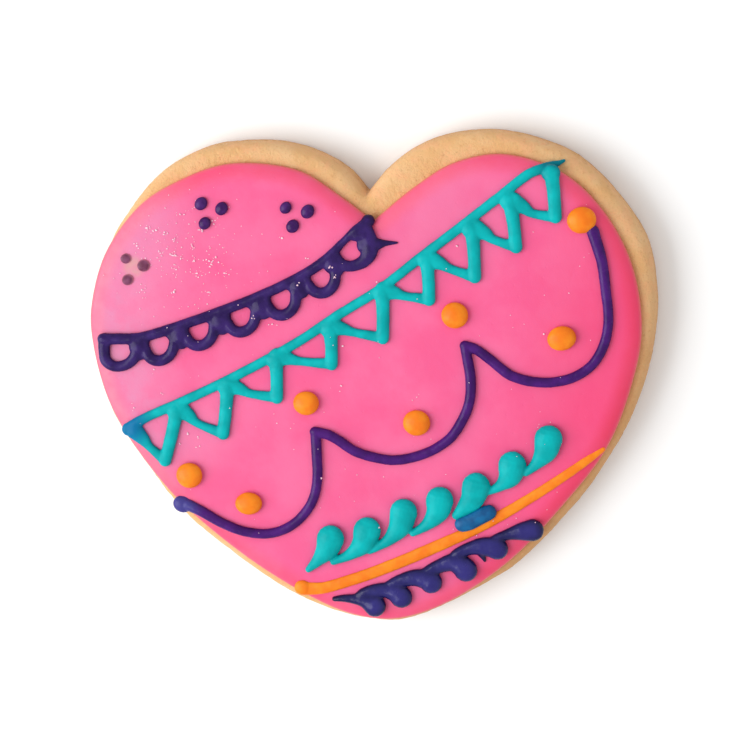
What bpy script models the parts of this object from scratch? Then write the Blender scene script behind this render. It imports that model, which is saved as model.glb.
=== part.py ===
"""Iced sugar cookie: a heart-shaped baked biscuit with a layer of royal icing that carries piped decoration.

All sizes below are in millimetres. The cookie lies on its flat underside, with +Z up, the point of the heart
towards -Y and the notch towards +Y.
"""
import math

import bmesh
import bpy

# Driving sizes
MILLIMETRE = 0.001
BISCUIT_THICKNESS = 6.5
LAYER_GAP = 0.3
ICING_THICKNESS = 1.3
OUTLINE_SIDES = 96
LINE_HEIGHT = 1.0
LOW_HEIGHT = 0.8
LINE_SIDES = 8
LINE_STEP = 2.0
FINE_STEP = 1.5
SINK_DEPTH = 0.55
THIN_SHARE = 0.35
LOOP_REACH = 2.4
LOOP_DEPTH = 2.5
LOOP_WIDTH = 1.85
LOOP_LEAN = 0.16
LOOP_START = 150
LOOP_TURN = 240
WEB_WIDTHS = ((1.0, 3.0), (-0.3, 2.1))
END_TURNS = (0.55, 0.88)

ICING_UNDERSIDE = BISCUIT_THICKNESS + LAYER_GAP
ICING_TOP = ICING_UNDERSIDE + ICING_THICKNESS
PIPING_BASE = ICING_TOP - 0.02

for old_object in list(bpy.data.objects):
    bpy.data.objects.remove(old_object, do_unlink=True)


# Lines through a few points

def spacing(first, second):
    """Returns the distance between two points, whatever width they carry."""
    return math.dist(first[:2], second[:2])


def mix_points(first, second, share):
    """Returns the point that share of the way from first to second, with its width if they carry one."""
    return tuple(start + (end - start) * share for start, end in zip(first, second))


def smooth_line(points, closed=False, sharp=(), parts=12):
    """Returns a smooth line through all the points; it bends freely except at the sharp ones."""
    count = len(points)
    last = count if closed else count - 1
    line = []
    for index in range(last):
        here = points[index]
        there = points[(index + 1) % count]
        before = points[index - 1]
        after = points[(index + 2) % count]
        if index in sharp or (index == 0 and not closed):
            before = mix_points(here, there, -1.0)
        if (index + 1) % count in sharp or (index == count - 2 and not closed):
            after = mix_points(there, here, -1.0)
        knots = [0.0]
        for first, second in ((before, here), (here, there), (there, after)):
            knots.append(knots[-1] + math.sqrt(spacing(first, second)))
        for part in range(parts):
            position = knots[1] + (knots[2] - knots[1]) * part / parts
            line.append(blend_points((before, here, there, after), knots, position))
    if not closed:
        line.append(tuple(points[-1]))
    return line


def blend_points(four, knots, position):
    """Returns one place on the smooth bend between the second and third of four points."""
    level = list(four)
    for span in (1, 2, 3):
        level = [
            mix_points(level[index], level[index + 1], weight(knots, index, span, position))
            for index in range(len(level) - 1)
        ]
    return level[0]


def weight(knots, index, span, position):
    """Returns how far along its stretch of the knots a position lies; the outer stretches use the middle."""
    if span == 1:
        start, end = knots[index], knots[index + 1]
    elif span == 2:
        start, end = knots[index], knots[index + 2]
    else:
        start, end = knots[1], knots[2]
    return (position - start) / (end - start)


def even_points(line, count, closed=False):
    """Returns count points spaced evenly along a line."""
    track = list(line)
    if closed:
        track.append(line[0])
    travelled = [0.0]
    for first, second in zip(track, track[1:]):
        travelled.append(travelled[-1] + spacing(first, second))
    spans = count if closed else count - 1
    picked = []
    section = 0
    for number in range(count):
        wanted = travelled[-1] * number / spans
        while section < len(track) - 2 and travelled[section + 1] < wanted:
            section += 1
        length = travelled[section + 1] - travelled[section]
        picked.append(mix_points(track[section], track[section + 1], (wanted - travelled[section]) / length))
    return picked


def line_length(line):
    """Returns the length of a line."""
    return sum(spacing(first, second) for first, second in zip(line, line[1:]))


def directions(line, closed=False):
    """Returns the unit direction of travel at each point of a line."""
    count = len(line)
    found = []
    for index in range(count):
        before = line[index - 1] if closed or index > 0 else line[0]
        after = line[(index + 1) % count] if closed or index < count - 1 else line[-1]
        length = spacing(before, after)
        found.append(((after[0] - before[0]) / length, (after[1] - before[1]) / length))
    return found


# Solid bodies

def body_from_rings(name, rings):
    """Makes a closed body from a run of rings of points, capped at both ends; an end ring may be one point."""
    mesh = bmesh.new()
    loops = [[mesh.verts.new([value * MILLIMETRE for value in point]) for point in ring] for ring in rings]
    for lower, upper in zip(loops, loops[1:]):
        sides = max(len(lower), len(upper))
        for index in range(sides):
            following = (index + 1) % sides
            corners = [lower[index % len(lower)], lower[following % len(lower)]]
            corners += [upper[following % len(upper)], upper[index % len(upper)]]
            mesh.faces.new(list(dict.fromkeys(corners)))
    for end in (loops[0], loops[-1]):
        if len(end) > 2:
            mesh.faces.new(end)
    bmesh.ops.recalc_face_normals(mesh, faces=mesh.faces)
    data = bpy.data.meshes.new(name)
    mesh.to_mesh(data)
    mesh.free()
    return bpy.data.objects.new(name, data)


def heart_slab(name, outline, profile):
    """Makes a slab from an outline; each profile entry gives how far inside the outline and how high a ring is."""
    headings = directions(outline, closed=True)
    rings = []
    for inset, height in profile:
        ring = []
        for (across, along), (step_x, step_y) in zip(outline, headings):
            ring.append((across - step_y * inset, along + step_x * inset, height))
        rings.append(ring)
    return body_from_rings(name, rings)


def piped_line(name, points, height=LINE_HEIGHT, step=LINE_STEP, fall=0.0):
    """Makes a rounded line of icing with round ends; each point gives its place and the line's width there.

    The line is lower where it is narrower, and fall is how far its far end sinks below the rest.
    """
    track = smooth_line(points) if len(points) > 2 else list(points)
    spans = max(2, round(line_length(track) / step))
    centres = even_points(track, spans + 1)
    headings = directions(centres)
    widest = max(centre[2] for centre in centres)
    stations = []
    for number, (centre, heading) in enumerate(zip(centres, headings)):
        sink = fall * max(0.0, 1.0 - (spans - number))
        stations.append((centre, heading, 0.0, 1.0, sink))
    first, last = stations[0], stations[-1]
    for turn in END_TURNS:
        shift, squeeze = math.sin(turn * math.pi / 2), math.cos(turn * math.pi / 2)
        stations.insert(0, (first[0], first[1], -shift, squeeze, first[4]))
        stations.append((last[0], last[1], shift, squeeze, last[4]))
    rings = []
    for centre, heading, shift, squeeze, sink in stations:
        half = centre[2] / 2.0
        top = height * (THIN_SHARE + (1.0 - THIN_SHARE) * centre[2] / widest)
        middle = (centre[0] + heading[0] * half * shift, centre[1] + heading[1] * half * shift)
        ring = []
        for side in range(LINE_SIDES):
            angle = 2.0 * math.pi * side / LINE_SIDES
            outward = half * squeeze * math.cos(angle)
            rise = math.sin(angle) * squeeze
            rise *= top if rise > 0.0 else SINK_DEPTH * min(1.0, centre[2] / widest + 0.2)
            ring.append((middle[0] - heading[1] * outward, middle[1] + heading[0] * outward,
                         PIPING_BASE - sink + rise))
        rings.append(ring)
    return body_from_rings(name, rings)


def hanging_loop(name, hole, slope):
    """Makes one loop of icing that hangs round a hole, open above where the string closes it."""
    points = []
    for degrees in range(LOOP_START, LOOP_START + LOOP_TURN + 1, 24):
        turn = math.radians(degrees)
        across = LOOP_DEPTH * math.sin(turn)
        along = LOOP_REACH * math.cos(turn) + LOOP_LEAN * min(0.0, across)
        points.append((hole[0] + along * math.cos(slope) - across * math.sin(slope),
                       hole[1] + along * math.sin(slope) + across * math.cos(slope), LOOP_WIDTH))
    return piped_line(name, points, step=FINE_STEP)


def piped_dot(name, centre, half_width, half_depth, height, sides=12):
    """Makes one low round dome of icing."""
    levels = ((0.80, -SINK_DEPTH), (1.0, 0.0), (0.90, height * 0.42), (0.58, height * 0.84))
    rings = []
    for share, level in levels:
        ring = []
        for side in range(sides):
            angle = 2.0 * math.pi * side / sides
            ring.append((centre[0] + half_width * share * math.cos(angle),
                         centre[1] + half_depth * share * math.sin(angle), PIPING_BASE + level))
        rings.append(ring)
    rings.append([(centre[0], centre[1], PIPING_BASE + height)])
    return body_from_rings(name, rings)


def give_material(target, name, colour, roughness):
    """Gives an object its own plain material."""
    material = bpy.data.materials.new(name)
    material.use_nodes = True
    shader = material.node_tree.nodes["Principled BSDF"]
    shader.inputs["Base Color"].default_value = colour
    shader.inputs["Roughness"].default_value = roughness
    shader.inputs["Metallic"].default_value = 0.0
    target.data.materials.clear()
    target.data.materials.append(material)


def shade_round(target):
    """Shades a body smooth, with its real edges kept."""
    target.data.shade_smooth()
    target.data.set_sharp_from_angle(angle=math.radians(40.0))


# Biscuit: one baked slab with a flat underside, an upright side and softly rounded edges
NOTCH = 0
BISCUIT_OUTLINE = [
    (0.5, 30.2), (-2.5, 33.9), (-6.5, 36.5), (-12.9, 38.6), (-19.8, 38.9), (-26.2, 37.9), (-32.5, 34.6),
    (-39.3, 27.0), (-44.0, 18.0), (-45.4, 11.2), (-43.4, -2.7), (-37.1, -13.9), (-32.0, -21.0),
    (-22.0, -29.8), (-12.4, -36.0), (-5.2, -38.6), (2.5, -39.3), (9.7, -36.9), (20.8, -30.8), (29.1, -23.1),
    (35.1, -15.9), (41.2, -5.6), (44.4, 3.8), (45.3, 12.0), (44.0, 21.5), (36.2, 32.7), (29.9, 36.8),
    (20.4, 39.3), (10.7, 38.1), (4.2, 34.3),
]
biscuit_line = even_points(smooth_line(BISCUIT_OUTLINE, closed=True, sharp=(NOTCH,)), OUTLINE_SIDES, closed=True)
BISCUIT_PROFILE = [
    (0.9, 0.0), (0.35, 0.2), (0.0, 0.9), (0.0, BISCUIT_THICKNESS - 2.0), (0.25, BISCUIT_THICKNESS - 1.0),
    (0.9, BISCUIT_THICKNESS - 0.3), (2.2, BISCUIT_THICKNESS),
]
biscuit = heart_slab("biscuit", biscuit_line, BISCUIT_PROFILE)
bpy.context.scene.collection.objects.link(biscuit)
give_material(biscuit, "biscuit", (0.76, 0.48, 0.24, 1.0), 0.85)

# Icing: one poured layer with a rounded rim, lying a little inside the edge of the biscuit
ICING_OUTLINE = [
    (1.5, 26.1), (-2.7, 29.6), (-9.1, 34.1), (-14.6, 35.6), (-21.8, 35.8), (-28.9, 33.6), (-35.4, 30.0),
    (-41.5, 22.8), (-44.3, 15.6), (-45.0, 9.9), (-42.7, -2.3), (-36.4, -13.4), (-30.9, -20.0),
    (-21.1, -28.6), (-11.5, -34.9), (-5.5, -37.6), (0.5, -38.6), (5.5, -37.8), (12.15, -35.0), (20.8, -29.05),
    (29.0, -20.8), (36.7, -11.2), (40.9, -1.5), (42.9, 7.6), (41.7, 18.1), (37.5, 26.7), (31.5, 32.7),
    (22.4, 35.9), (14.65, 34.8), (8.55, 31.4),
]
icing_line = even_points(smooth_line(ICING_OUTLINE, closed=True, sharp=(NOTCH,)), OUTLINE_SIDES, closed=True)
ICING_PROFILE = [
    (0.1, ICING_UNDERSIDE), (0.0, ICING_UNDERSIDE + 0.35), (0.2, ICING_UNDERSIDE + 0.8),
    (0.7, ICING_UNDERSIDE + 1.13), (1.6, ICING_TOP),
]
icing = heart_slab("icing", icing_line, ICING_PROFILE)
bpy.context.scene.collection.objects.link(icing)

decoration = []

# Lace border: a string with a row of seven hanging loops that run together, and a short pointed tail
LACE_STRING = [
    (-42.8, 8.65, 2.0), (-41.3, 8.65, 1.9), (-37.0, 8.7, 1.75), (-32.2, 9.9, 1.7), (-27.2, 11.4, 1.7),
    (-22.9, 12.8, 1.7), (-18.3, 14.4, 1.7), (-13.6, 16.3, 1.7), (-9.4, 18.3, 1.7), (-6.2, 20.3, 1.7),
    (-4.9, 21.4, 1.65), (-3.8, 22.55, 1.35), (-2.6, 23.65, 1.3), (-1.2, 24.8, 1.6), (-0.3, 25.35, 1.75),
    (0.7, 26.1, 1.8),
]
LACE_FIRST_LOOP = [
    (-42.6, 8.6, 2.1), (-42.8, 6.8, 1.95), (-42.6, 5.1, 1.9), (-41.3, 4.2, 1.8), (-39.4, 4.4, 1.8),
    (-37.9, 5.6, 1.9), (-37.3, 7.2, 1.9),
]
LACE_HOLES = [
    ((-33.65, 7.5), 0.18), ((-27.0, 9.8), 0.28), ((-20.15, 11.8), 0.30), ((-13.5, 14.35), 0.38),
    ((-6.95, 17.75), 0.50),
]
LACE_LAST_LOOP = [
    (-4.65, 21.3, 1.7), (-4.2, 20.2, 1.9), (-3.35, 19.45, 1.9), (-2.1, 19.25, 1.8), (-0.2, 19.9, 2.1),
    (0.85, 21.2, 2.6), (1.05, 22.8, 2.8), (0.6, 24.7, 2.4),
]
LACE_WEBS = [
    ((-37.0, 6.4), 0.12), ((-30.1, 8.0), 0.20), ((-23.4, 10.1), 0.28), ((-16.6, 12.4), 0.32),
    ((-10.3, 15.6), 0.43), ((-4.5, 18.9), 0.60),
]
decoration.append(piped_line("lace string", LACE_STRING))
decoration.append(piped_line("first lace loop", LACE_FIRST_LOOP, step=FINE_STEP))
decoration.append(piped_line("last lace loop", LACE_LAST_LOOP, step=FINE_STEP))
for number, (hole, slope) in enumerate(LACE_HOLES):
    decoration.append(hanging_loop(f"lace loop {number}", hole, slope))
for number, ((web_x, web_y), slope) in enumerate(LACE_WEBS):
    web = [(web_x - math.sin(slope) * rise, web_y + math.cos(slope) * rise, width)
           for rise, width in WEB_WIDTHS]
    decoration.append(piped_line(f"lace web {number}", web))
LACE_TAIL = [(0.4, 22.5, 3.0), (2.0, 22.6, 2.1), (3.6, 22.7, 1.0), (5.4, 22.7, 0.35)]
LACE_FILL = [(0.9, 22.9, 2.6), (-0.15, 23.75, 2.6), (-1.0, 24.5, 1.9)]
decoration.append(piped_line("lace tail", LACE_TAIL))
decoration.append(piped_line("lace fill", LACE_FILL, step=FINE_STEP))
decoration.append(piped_dot("lace end", (0.9, 26.3), 1.1, 1.0, 1.1, sides=10))

# Bunting: a string across the heart with nine pointed flags below it, each of two strokes
BUNTING_STRING = [
    (-39.8, -6.2, 2.2), (-38.4, -5.2, 1.8), (-36.0, -4.0, 1.6), (-31.0, -2.0, 1.6), (-24.3, 0.9, 1.6),
    (-17.6, 4.1, 1.6), (-10.9, 7.6, 1.6), (-4.3, 11.7, 1.6), (2.3, 15.5, 1.6), (8.8, 20.2, 1.6),
    (15.3, 24.8, 1.6), (21.8, 29.5, 1.6), (26.6, 32.9, 1.6), (29.6, 33.8, 1.5),
]
BUNTING_FLAGS = [
    [(-38.9, -6.7), (-36.5, -9.1), (-34.05, -11.4), (-31.6, -3.3)],
    [(-31.1, -3.4), (-28.6, -5.3), (-24.3, -7.2), (-23.1, 0.4)],
    [(-23.0, 0.4), (-19.7, -0.7), (-15.2, -1.5), (-15.0, 4.7)],
    [(-14.8, 4.7), (-11.3, 4.3), (-6.1, 3.7), (-6.0, 9.4)],
    [(-5.8, 9.4), (-2.4, 8.7), (2.3, 7.7), (2.6, 15.1)],
    [(2.8, 14.9), (6.0, 14.3), (9.95, 13.6), (9.85, 20.1)],
    [(10.2, 19.7), (13.4, 18.4), (17.3, 16.95), (17.2, 24.6)],
    [(17.6, 24.3), (20.4, 22.8), (23.95, 21.5), (23.3, 28.8)],
    [(23.7, 28.3), (26.6, 26.7), (30.25, 26.0), (29.9, 33.0)],
]
POOL_PLACES = ((0.0, 0.35, 3.0), (1.8, 0.25, 2.2))
decoration.append(piped_line("bunting string", BUNTING_STRING))
BUNTING_TAIL = [(29.6, 33.8, 1.1), (30.8, 34.1, 0.95), (31.8, 34.5, 0.6)]
decoration.append(piped_line("bunting tail", BUNTING_TAIL, height=LOW_HEIGHT, step=FINE_STEP, fall=0.85))
for number, (start, bend, tip, end) in enumerate(BUNTING_FLAGS):
    length = spacing(start, bend)
    along = ((bend[0] - start[0]) / length, (bend[1] - start[1]) / length)
    left_stroke = []
    for reach, rise, width in POOL_PLACES:
        left_stroke.append((start[0] + along[0] * reach - along[1] * rise,
                            start[1] + along[1] * reach + along[0] * rise, width))
    left_stroke += [(*bend, 1.5), (*tip, 1.9)]
    decoration.append(piped_line(f"flag {number} left", left_stroke, step=FINE_STEP))
    decoration.append(piped_line(f"flag {number} right", [(*tip, 2.1), (*end, 2.4)], height=1.15))

# Swags: three hanging curves of one line, from a round start at the left edge
SWAGS = [
    [(-30.8, -18.9, 1.9), (-28.9, -19.8, 1.75), (-25.7, -21.75, 1.65), (-22.5, -23.15, 1.6), (-19.0, -23.8, 1.6),
     (-16.4, -23.5, 1.6), (-13.8, -22.3, 1.6), (-11.8, -20.5, 1.6), (-10.2, -18.0, 1.6), (-9.4, -14.6, 1.65),
     (-9.3, -11.4, 1.7), (-9.3, -7.4, 1.7)],
    [(-9.4, -7.2, 1.7), (-7.45, -7.65, 1.65), (-5.5, -8.8, 1.65), (-3.5, -10.3, 1.65), (-1.0, -11.35, 1.6),
     (3.0, -12.1, 1.6), (6.5, -11.6, 1.6), (9.5, -10.5, 1.6), (12.2, -8.7, 1.65), (14.2, -6.0, 1.65),
     (15.5, -3.0, 1.65), (15.9, 0.6, 1.7), (15.3, 5.7, 1.65)],
    [(15.2, 6.1, 1.65), (16.95, 5.45, 1.6), (19.1, 3.8, 1.65), (22.5, 1.05, 1.65), (27.3, -0.1, 1.6), (31.6, 0.45, 1.6),
     (34.9, 2.4, 1.6), (37.0, 5.6, 1.6), (37.8, 9.6, 1.6), (37.5, 14.4, 1.65), (36.9, 18.9, 1.65), (35.5, 23.6, 1.7)],
]
decoration.append(piped_dot("swag start", (-31.8, -18.8), 1.6, 1.4, 1.2, sides=10))
for number, points in enumerate(SWAGS):
    decoration.append(piped_line(f"swag {number}", points, height=1.05))

# Round dots: seven large ones between the lines and nine small ones in groups of three
LARGE_DOTS = [
    (34.3, 25.4, 2.2, 2.1), (13.9, 11.0, 2.1, 2.0), (30.5, 6.9, 2.25, 1.9), (-10.5, -2.5, 2.05, 1.9),
    (7.0, -6.1, 2.15, 2.0), (-30.2, -13.9, 2.1, 2.05), (-20.8, -18.7, 2.15, 1.85),
]
SMALL_DOTS = [
    (-38.2, 21.5, 0.85), (-35.3, 20.4, 1.0), (-38.1, 18.2, 0.95), (-25.5, 29.8, 1.0), (-22.2, 28.9, 1.0),
    (-25.0, 26.6, 0.95), (-12.0, 28.7, 0.95), (-8.5, 27.9, 1.05), (-11.1, 25.7, 1.0),
]
for number, (place_x, place_y, half_width, half_depth) in enumerate(LARGE_DOTS):
    decoration.append(piped_dot(f"large dot {number}", (place_x, place_y), half_width, half_depth, 1.6))
for number, (place_x, place_y, radius) in enumerate(SMALL_DOTS):
    decoration.append(piped_dot(f"small dot {number}", (place_x, place_y), radius, radius, 0.85, sides=10))

# Leaf garlands: drops with a fat head and a tail drawn to a point, seven broad and six narrow
BROAD_DROPS = [
    [(-7.8, -24.7, 4.5), (-8.5, -26.4, 3.8), (-10.2, -28.4, 2.0), (-11.7, -29.8, 1.1)],
    [(-1.8, -23.5, 4.5), (-2.6, -25.5, 3.8), (-4.7, -27.3, 2.0), (-7.6, -28.6, 1.1)],
    [(4.2, -20.6, 4.5), (3.5, -22.8, 3.8), (1.5, -25.1, 2.0), (-1.6, -26.9, 1.1)],
    [(10.1, -18.7, 4.5), (9.6, -20.6, 3.8), (7.8, -22.7, 2.0), (5.5, -24.1, 1.1)],
    [(16.0, -16.6, 4.6), (15.3, -18.5, 3.9), (14.0, -20.0, 2.7), (12.7, -21.2, 1.6)],
    [(21.9, -13.2, 4.5), (21.3, -15.1, 3.8), (19.9, -16.5, 2.0), (18.1, -17.5, 1.1)],
    [(27.8, -9.1, 4.5), (27.2, -11.1, 3.8), (25.7, -13.1, 2.0), (24.0, -14.6, 1.1)],
]
NARROW_DROPS = [
    [(-7.8, -34.8, 0.8), (-6.3, -34.7, 1.2), (-4.5, -34.8, 1.7), (-2.8, -35.1, 2.6), (-1.3, -35.9, 3.8)],
    [(-4.4, -34.6, 1.1), (-2.9, -33.9, 1.9), (-1.2, -33.5, 2.3), (0.8, -33.4, 2.6), (2.3, -33.9, 3.3),
     (3.1, -34.5, 3.7)],
    [(-0.4, -33.4, 1.1), (1.5, -32.6, 1.9), (3.1, -31.9, 2.2), (5.2, -31.4, 2.7), (7.0, -31.6, 3.3),
     (8.0, -32.1, 3.8)],
    [(5.6, -31.3, 1.1), (7.7, -30.4, 2.0), (9.9, -29.4, 2.4), (11.7, -29.0, 3.1), (13.1, -29.6, 3.7),
     (13.7, -30.2, 3.9)],
    [(10.8, -28.7, 1.1), (12.5, -27.6, 1.9), (14.2, -26.8, 2.1), (16.1, -26.4, 2.8), (17.8, -26.5, 3.3),
     (18.9, -26.8, 3.6)],
    [(17.4, -25.7, 1.0), (19.1, -25.0, 1.4), (20.8, -24.5, 1.9), (22.6, -24.1, 2.8), (24.6, -23.9, 3.7)],
]
for number, points in enumerate(BROAD_DROPS):
    decoration.append(piped_line(f"broad drop {number}", points, height=1.85, step=FINE_STEP))
for number, points in enumerate(NARROW_DROPS):
    decoration.append(piped_line(f"narrow drop {number}", points, height=1.5, step=FINE_STEP))
decoration.append(piped_line("narrow drop thorn", [(16.2, -27.4, 1.5), (16.8, -28.8, 0.6)], height=LOW_HEIGHT))

# Low stem line along the lower right edge and one short rod beside it
LOW_STEM = [
    (-12.9, -33.0, 2.45), (-11.2, -33.1, 2.1), (-9.4, -32.95, 1.95), (-3.6, -31.3, 1.95), (2.0, -29.3, 2.0),
    (7.8, -26.95, 2.0), (13.4, -24.55, 1.9), (19.1, -21.8, 1.8), (24.6, -18.65, 1.65), (29.0, -15.9, 1.55),
    (33.7, -12.8, 1.3), (36.2, -11.2, 0.8),
]
SHORT_ROD = [(13.6, -22.65, 2.65), (14.8, -22.25, 2.75), (16.3, -21.5, 2.7), (17.8, -20.85, 2.55)]
decoration.append(piped_dot("low stem start", (-12.9, -32.9), 1.4, 1.25, 0.7, sides=10))
decoration.append(piped_line("low stem", LOW_STEM, height=0.55))
decoration.append(piped_line("short rod", SHORT_ROD, height=1.35, step=FINE_STEP))

# The piped decoration is fused to the poured layer, as royal icing sets into one sheet
piping = bpy.data.collections.new("piping")
bpy.context.scene.collection.children.link(piping)
for piece in decoration:
    piping.objects.link(piece)
join = icing.modifiers.new("join", "BOOLEAN")
join.operation = "UNION"
join.solver = "EXACT"
join.operand_type = "COLLECTION"
join.collection = piping
bpy.context.view_layer.objects.active = icing
bpy.ops.object.modifier_apply(modifier=join.name)
for piece in decoration:
    bpy.data.objects.remove(piece, do_unlink=True)
bpy.data.collections.remove(piping)
give_material(icing, "pink_icing", (0.95, 0.13, 0.30, 1.0), 0.5)

for finished in (biscuit, icing):
    shade_round(finished)
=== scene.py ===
"""Iced sugar cookie: a heart cut from rolled dough, flooded with pink royal icing and piped by hand on top.

Sizes in the sections are millimetres on the cookie's own axes: +Z up, +Y towards the notch of the heart.
"""
import math
import random

import bmesh
import bpy
import numpy as np
from mathutils import Matrix, Vector, noise
from mathutils.bvhtree import BVHTree


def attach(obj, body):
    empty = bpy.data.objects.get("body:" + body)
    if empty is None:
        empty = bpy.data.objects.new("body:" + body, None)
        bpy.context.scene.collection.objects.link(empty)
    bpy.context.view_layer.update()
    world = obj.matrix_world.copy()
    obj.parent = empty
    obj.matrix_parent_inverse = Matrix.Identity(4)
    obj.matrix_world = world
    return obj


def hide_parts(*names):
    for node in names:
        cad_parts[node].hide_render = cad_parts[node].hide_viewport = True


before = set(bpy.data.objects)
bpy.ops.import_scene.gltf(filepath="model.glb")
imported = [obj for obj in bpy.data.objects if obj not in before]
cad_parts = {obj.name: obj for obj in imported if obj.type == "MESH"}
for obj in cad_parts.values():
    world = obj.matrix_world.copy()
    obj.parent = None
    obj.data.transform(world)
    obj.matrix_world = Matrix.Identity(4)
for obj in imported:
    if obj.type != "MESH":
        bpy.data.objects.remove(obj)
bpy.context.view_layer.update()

# Camera: it looks down on the cookie from about 45 cm and leans 14 degrees towards the notch and the right
# lobe, so that the biscuit's side shows along the top right of the heart and is hidden along the lower left.
CAMERA_LEAN = math.radians(14.0)
LEAN_TOWARDS = math.radians(52.2)
PICTURE_TURN = math.radians(-2.2)
CAMERA_DISTANCE = 0.45
CAMERA_TARGET = Vector((0.00008, 0.0009, 0.004))
LENS_LENGTH = 135.4

lean_axis = Vector((-math.sin(LEAN_TOWARDS), math.cos(LEAN_TOWARDS), 0.0))
camera_turn = Matrix.Rotation(CAMERA_LEAN, 4, lean_axis) @ Matrix.Rotation(PICTURE_TURN, 4, "Z")
camera_data = bpy.data.cameras.new("camera")
camera_data.lens = LENS_LENGTH
camera_data.sensor_width = 36.0
camera = bpy.data.objects.new("camera", camera_data)
bpy.context.scene.collection.objects.link(camera)
camera_place = Matrix.Translation(CAMERA_TARGET) @ camera_turn
camera.matrix_world = camera_place @ Matrix.Translation((0, 0, CAMERA_DISTANCE))
bpy.context.scene.camera = camera
bpy.context.scene.view_settings.view_transform = "Standard"

# Biscuit: a heart cut from rolled dough about 6.5 mm thick. The cutter leaves an upright side, and baking
# rounds the edges, opens fine pores along the side, and browns the foot and the underside. Painted shade
# darkens the lower right and the pores along the side.
BISCUIT_TOP = 6.5
BISCUIT_STEP = 0.36
BISCUIT_MARKS = [
    (0.5, 30.2), (-2.5, 33.9), (-6.5, 36.5), (-12.9, 38.6), (-19.8, 38.9), (-26.2, 37.9), (-32.5, 34.6),
    (-39.3, 27.0), (-44.0, 18.0), (-45.4, 11.2), (-43.4, -2.7), (-37.1, -13.9), (-32.0, -21.0),
    (-22.0, -29.8), (-12.4, -36.0), (-5.2, -38.6), (2.5, -39.3), (9.7, -36.9), (20.8, -30.8), (29.1, -23.1),
    (35.1, -15.9), (41.2, -5.6), (44.4, 3.8), (45.3, 12.0), (44.0, 21.5), (36.2, 32.7), (29.9, 36.8),
    (20.4, 39.3), (10.7, 38.1), (4.2, 34.3),
]


def flowing_line(marks, spacing, closed=False, sharp=()):
    """Returns evenly spaced points on a smooth line through marks, whose third value may be a width."""
    marks = np.array(marks, float)
    count = len(marks)
    runs = []
    for index in range(count if closed else count - 1):
        following = (index + 1) % count
        here, there = marks[index], marks[following]
        before, after = marks[index - 1], marks[(index + 2) % count]
        if index in sharp or (index == 0 and not closed):
            before = 2.0 * here - there
        if following in sharp or (index == count - 2 and not closed):
            after = 2.0 * there - here
        four = [before, here, there, after]
        knots = [0.0]
        for first, second in zip(four, four[1:]):
            knots.append(knots[-1] + math.sqrt(max(1e-6, math.dist(first[:2], second[:2]))))
        at = np.linspace(knots[1], knots[2], 24, endpoint=False)[:, None]
        ends = [[(knots[0], knots[1]), (knots[1], knots[2]), (knots[2], knots[3])],
                [(knots[0], knots[2]), (knots[1], knots[3])], [(knots[1], knots[2])]]
        level = four
        for stretches in ends:
            level = [level[k] + (level[k + 1] - level[k]) * (at - low) / (high - low)
                     for k, (low, high) in enumerate(stretches)]
        runs.append(level[0])
    line = np.concatenate(runs + [marks[:1] if closed else marks[-1:]])
    travelled = np.concatenate([[0.0], np.cumsum(np.hypot(*np.diff(line[:, :2], axis=0).T))])
    steps = max(3, round(travelled[-1] / spacing))
    wanted = np.linspace(0.0, travelled[-1], steps + 1)
    even = np.stack([np.interp(wanted, travelled, column) for column in line.T], axis=1)
    return even[:-1] if closed else even


def inward_directions(line, reach):
    """Returns the direction into the heart at each point of its outline, softened over reach points."""
    travel = np.roll(line, -1, axis=0) - np.roll(line, 1, axis=0)
    inward = np.stack([-travel[:, 1], travel[:, 0]], axis=1)
    inward /= np.linalg.norm(inward, axis=1)[:, None]
    soft = sum(np.roll(inward, shift, axis=0) for shift in range(-reach, reach + 1))
    return soft / np.linalg.norm(soft, axis=1)[:, None]


def crumb_height(place, pore_size):
    """Returns how far baked crumb stands out or sinks at a place, in millimetres; the top is less open."""
    swell = noise.noise(place / 6.0) * 0.13 + noise.noise(place / 2.1) * 0.06
    grain = noise.noise(place / 0.75) * 0.06
    distances, _ = noise.voronoi(place / pore_size)
    pore = max(0.0, 1.0 - distances[0] / 0.42)
    open_pore = max(0.0, noise.noise(place / 2.6) + 0.22)
    closed_top = min(1.0, max(0.0, (place.z - 4.2) / 1.6))
    return swell + grain - (0.75 - 0.5 * closed_top) * pore * open_pore


def solid_from_rings(name, rings):
    """Makes a closed mesh object, in metres, from rings of equal length given in millimetres."""
    points = np.concatenate(rings) * 0.001
    count = len(rings[0])
    faces = []
    for level in range(len(rings) - 1):
        start = level * count
        for index in range(count):
            following = (index + 1) % count
            above = start + count
            faces.append((start + index, start + following, above + following, above + index))
    faces.append(tuple(range(count - 1, -1, -1)))
    faces.append(tuple(range((len(rings) - 1) * count, len(rings) * count)))
    data = bpy.data.meshes.new(name)
    data.from_pydata(points.tolist(), [], faces)
    data.shade_smooth()
    piece = bpy.data.objects.new(name, data)
    bpy.context.scene.collection.objects.link(piece)
    return piece


biscuit_line = flowing_line(BISCUIT_MARKS, BISCUIT_STEP, closed=True, sharp=(0,))
biscuit_inward = inward_directions(biscuit_line, 4)

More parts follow.
